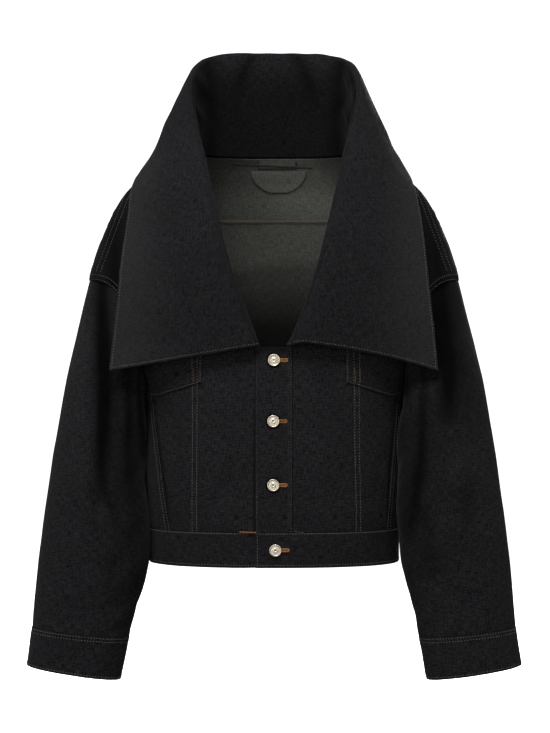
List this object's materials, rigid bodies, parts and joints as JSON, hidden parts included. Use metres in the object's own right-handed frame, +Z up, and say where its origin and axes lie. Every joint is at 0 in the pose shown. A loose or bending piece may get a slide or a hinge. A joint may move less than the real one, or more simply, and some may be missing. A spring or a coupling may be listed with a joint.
{
  "type": "denim jacket with an oversized fold-over collar",
  "caption": "Cropped denim jacket with a huge fold-over collar, hollow, in its worn shape, buttoned in front with metal shank buttons.",
  "frame": {"origin": "between the shoulders, at the height of the neck seam, where the wearer's shoulders carry the jacket", "axes": "+Z up, -Y out of the front, +X to the wearer's left"},
  "size_m": [0.704, 0.2868, 0.9091],
  "materials": {
    "denim": "dark indigo raw denim, matt, twill weave",
    "collar_denim": "dark indigo raw denim, matt, a little paler where it faces up",
    "inside_cloth": "grey wrong side of the denim, matt",
    "pale_gold": "pale gold plated metal, softly polished"
  },
  "bodies": {
    "root": {"back_panel": "denim", "back_yoke": "denim", "front_centre_left": "denim", "front_centre_right": "denim", "front_middle_left": "denim", "front_middle_right": "denim", "front_side_left": "denim", "front_side_right": "denim", "front_yoke_left": "denim", "front_yoke_right": "denim", "flap_left": "denim", "flap_right": "denim", "placket_over": "denim", "placket_under": "denim", "waistband": "denim", "sleeve_left": "denim", "sleeve_right": "denim", "cuff_left": "denim", "cuff_right": "denim", "collar": "collar_denim", "neck_label": "inside_cloth", "hanger_loop": "inside_cloth", "neck_patch": "inside_cloth", "button_1": "pale_gold", "button_2": "pale_gold", "button_3": "pale_gold", "button_4": "pale_gold"}
  },
  "joints": []
}
